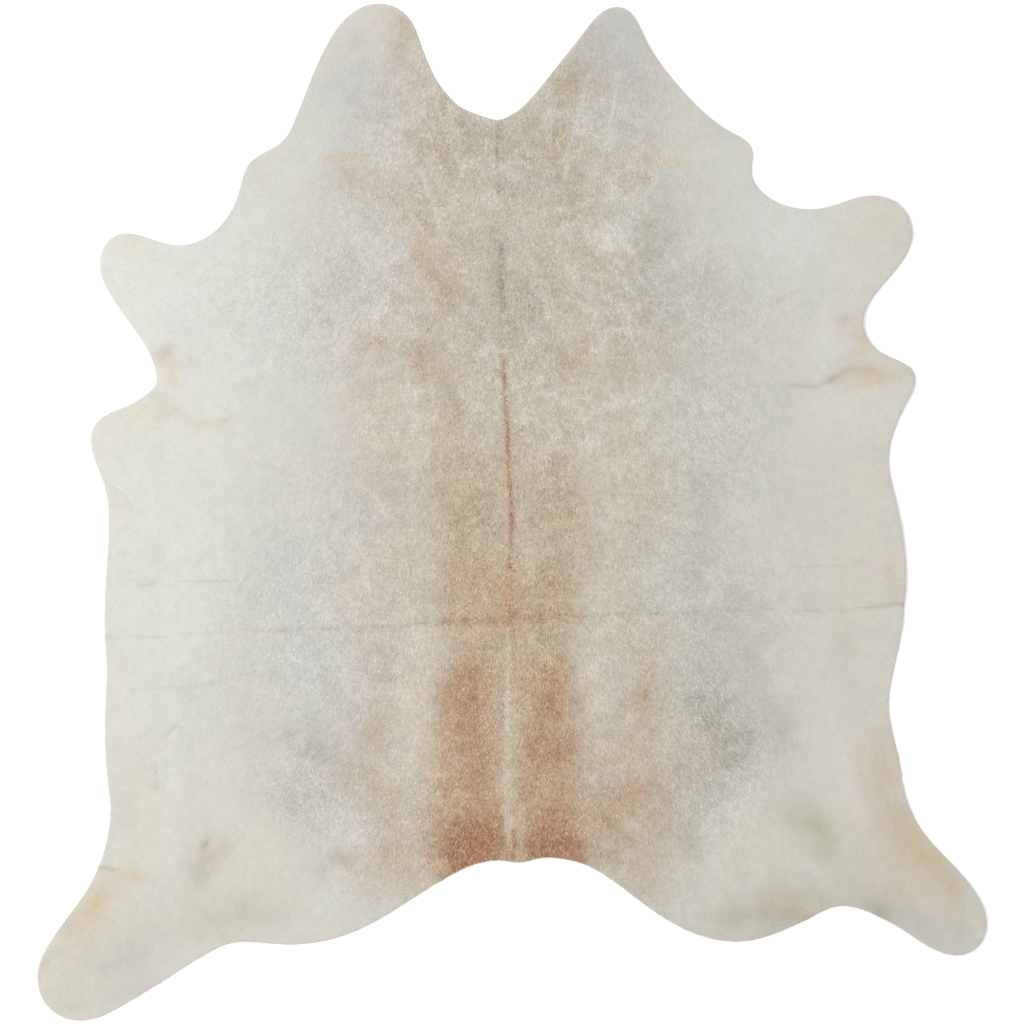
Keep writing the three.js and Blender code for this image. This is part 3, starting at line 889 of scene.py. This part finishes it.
def hairHeading(x, y):
    runX, runY = np.zeros(len(x)), np.zeros(len(x))
    for place, px, py, heading in combing:
        pull = np.exp(-((x - px) ** 2 + (y - py) ** 2) / comb["spread"] ** 2) + 1e-9
        runX += pull * math.cos(math.radians(heading))
        runY += pull * math.sin(math.radians(heading))
    wave = comb["wave"] * cloudNoise(x, y, 120, 151, 2)
    curl = comb["curl"][0] + comb["curl"][1] * markMask(x, y, curlyNeck, 0, 0)
    return np.arctan2(runY, runX) + wave + curl * cloudNoise(x, y, 24, 161, 2)


# where the hair is coarse and speckled: place, x, y, half along, half across, turn, core, strength
coarseCoat = [
    ("neck", 0, 700, 480, 440, 90, 0.6, 0.95),
    ("shoulders", -25, 450, 690, 270, 0, 0.6, 0.92),
    ("back and loin", -10, -230, 700, 520, 0, 0.75, 0.82),
    ("rump", 0, -620, 520, 360, 0, 0.5, 0.95),
    ("left rump", -410, -600, 250, 140, 133, 0.4, 0.85),
    ("right rump", 410, -500, 300, 190, 100, 0.5, 1.0),
    ("spine", -5, 40, 1050, 240, 90, 0.7, 1.0),
    ("right ribs", 330, 130, 330, 280, 90, 0.6, 0.72),
    ("left ribs", -230, 180, 230, 170, 90, 0.6, 0.75),
]
coarseRagged = 45
coat = {
    "names": ("coat_rump", "coat_back", "coat_shoulders", "coat_neck"),
    "seed": 7,
    # roots: how far they are spread either way, how close, and how far inside the cut edge
    "spread": (1030, 1104),
    "spacing": 1.98,
    "fromEdge": 0.8,
    "lift": 0.1,
    # locks, with the shares by which one differs from the next
    "length": (4, 8),
    "half": 0.75,
    "halfShare": (0.75, 1.25),
    "riseShare": (0.7, 1.3),
    "riseLength": 6,
    "overhang": 1.6,
    "droop": 1.2,
    # on the flanks and legs, and where the hair is coarse
    "rise": (0.3, 1.3),
    "roll": (0.01, 0.22),
    "stray": (0.06, 0.50),
    "grain": (4.0, 15.2),
    "pigment": (0.03, 0.12),
    "shade": (0.84, 1.03),
    # painted shade at the root and a painted highlight at the tip of each lock
    "rootShade": (-0.02, -0.14),
    "tipHighlight": (0.01, 0.06),
    # colour is taken part of the way along a lock, and dark coat has the stronger grain
    "colourAt": 0.4,
    "pigmentRange": (0.7, 1.25),
    "toneRange": 2.4,
    "darkBelow": 195,
    "darkGrain": 48,
}


def coarseness(x, y):
    warpX, warpY = cloudNoise(x, y, 170, 11), cloudNoise(x, y, 170, 21)
    most = np.zeros(len(x))
    for place, *oval in coarseCoat:
        mark = (place, "", *oval, coarseRagged)
        most = np.maximum(most, markMask(x, y, mark, warpX, warpY))
    return most


coatHair = coatMaterial("coat", 0.94, 0.62)


def rootSpots():
    rng = np.random.default_rng(coat["seed"])
    wide, long = coat["spread"]
    x, y = np.meshgrid(np.arange(-wide, wide, coat["spacing"]), np.arange(-long, long, coat["spacing"]))
    x = x.ravel() + rng.uniform(-0.5, 0.5, x.size) * coat["spacing"]
    y = y.ravel() + rng.uniform(-0.5, 0.5, y.size) * coat["spacing"]
    keep = gridAt(reachGrid, x, y) > skin["inset"] + coat["fromEdge"]
    return x[keep], y[keep]


def makeLocks(x, y):
    rng = np.random.default_rng(coat["seed"] + 1)
    count = len(x)
    coarse = coarseness(x, y)

    def between(key):
        return coat[key][0] + (coat[key][1] - coat[key][0]) * coarse

    heading = hairHeading(x, y) + rng.normal(0, 1, count) * between("stray")
    dx, dy = np.cos(heading), np.sin(heading)
    length = rng.uniform(*coat["length"], count)
    half = coat["half"] * rng.uniform(*coat["halfShare"], count)
    # tips stop just past the cut edge
    inHere = gridAt(reachGrid, x, y)
    inTip = gridAt(reachGrid, x + dx * length, y + dy * length)
    room = (inHere + coat["overhang"]) / np.maximum(inHere - inTip, 0.01)
    length *= np.where(inTip < -coat["overhang"], np.clip(room, 0.1, 1), 1)
    rise = between("rise") * rng.uniform(*coat["riseShare"], count)
    rise = rise * np.minimum(1, length / coat["riseLength"])
    roll = between("roll") * rng.uniform(-1, 1, count)
    tipX, tipY = x + dx * length, y + dy * length
    droop = coat["droop"] * np.clip(-gridAt(reachGrid, tipX, tipY) / coat["overhang"], 0, 1)
    rootZ = topHeight(x, y) + coat["lift"] + np.abs(roll)
    tipZ = topHeight(tipX, tipY) + rise - droop
    places = np.empty((count, 3, 3))
    places[:, 0] = np.column_stack([x + dy * half, y - dx * half, rootZ + roll])
    places[:, 1] = np.column_stack([tipX, tipY, tipZ])
    places[:, 2] = np.column_stack([x - dy * half, y + dx * half, rootZ - roll])
    # colour by lock, with painted shade at the root and a painted highlight at the tip
    pigment = np.clip(1 + between("pigment") * rng.normal(0, 1, count), *coat["pigmentRange"])
    part = coat["colourAt"] * length
    base = paintCoat(x + part * dx, y + part * dy, pigment)
    tone = rng.normal(0, 1, count) + 0.45 * softNoise(x, y, 9, 171) + 0.35 * softNoise(x, y, 21, 181)
    tone = np.clip(tone, -coat["toneRange"], coat["toneRange"])
    deep = np.clip((coat["darkBelow"] - base.mean(1)) / coat["darkBelow"], 0, 1)
    grain = (between("grain") + coat["darkGrain"] * deep * coarse) * tone
    base = linearColour(base + grain[:, None]) * between("shade")[:, None]
    lockShading = np.column_stack([between("rootShade"), between("tipHighlight"), between("rootShade")])
    return places, np.clip(base[:, None, :] * (1 + lockShading)[:, :, None], 0, 1)


def makeCoat():
    x, y = rootSpots()
    order = np.argsort(y, kind="stable")
    places, colour = makeLocks(x[order], y[order])
    pieces = []
    for name, part in zip(coat["names"], np.array_split(np.arange(len(x)), len(coat["names"]))):
        spots = places[part].reshape(-1, 3)
        faces = np.arange(len(spots)).reshape(-1, 3)
        piece = makeMesh(name, spots, faces, [coatHair])
        giveColour(piece, colour[part].reshape(-1, 3))
        low, high = spots.min(0), spots.max(0)
        u, v, height = ((spots - low) / (high - low)).T
        giveMap(piece, u, v)
        pieces.append(piece)
        print(name, len(part), "locks", len(faces), "faces")
    return pieces


coatPieces = makeCoat()

for piece in [skinPiece, *coatPieces]:
    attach(piece, "root")
    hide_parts("hide")

# the studio, in metres: a pale floor, even light from all round and a broad lamp high on the left
studio = {
    "floorHalf": 30,
    "floorTint": (0.92, 0.92, 0.92, 1),
    "sky": 0.93,
    "keyPlace": (-3.6, 0.6, 3.6),
    "keySize": 2.4,
    "keyPower": 140,
    "cameraHeight": 4.3,
    "lens": 70,
    "sensor": 36,
}


def makeFloor():
    mesh = bpy.data.meshes.new("floor")
    far = studio["floorHalf"]
    mesh.from_pydata([(-far, -far, 0), (far, -far, 0), (far, far, 0), (-far, far, 0)], [], [(0, 1, 2, 3)])
    material, nodes, links, shader = newMaterial("pale floor")
    shader.inputs["Base Color"].default_value = studio["floorTint"]
    shader.inputs["Roughness"].default_value = 0.9
    shader.inputs["Specular IOR Level"].default_value = 0.1
    mesh.materials.append(material)
    floor = bpy.data.objects.new("floor", mesh)
    bpy.context.scene.collection.objects.link(floor)


def makeLamp(name, place, size, power):
    data = bpy.data.lights.new(name, "AREA")
    data.shape = "DISK"
    data.size = size
    data.energy = power
    lamp = bpy.data.objects.new(name, data)
    lamp.location = place
    lamp.rotation_euler = Vector(place).to_track_quat("Z", "Y").to_euler()
    bpy.context.scene.collection.objects.link(lamp)


makeFloor()
makeLamp("key", studio["keyPlace"], studio["keySize"], studio["keyPower"])
world = bpy.data.worlds.new("studio")
world.use_nodes = True
sky = world.node_tree.nodes["Background"]
sky.inputs["Color"].default_value = (1, 1, 1, 1)
sky.inputs["Strength"].default_value = studio["sky"]
bpy.context.scene.world = world
bpy.context.scene.view_settings.view_transform = "Standard"

cameraData = bpy.data.cameras.new("camera")
cameraData.lens = studio["lens"]
cameraData.sensor_width = studio["sensor"]
camera = bpy.data.objects.new("camera", cameraData)
camera.location = (0, 0, studio["cameraHeight"])
bpy.context.scene.collection.objects.link(camera)
bpy.context.scene.camera = camera
print("studio and camera set")
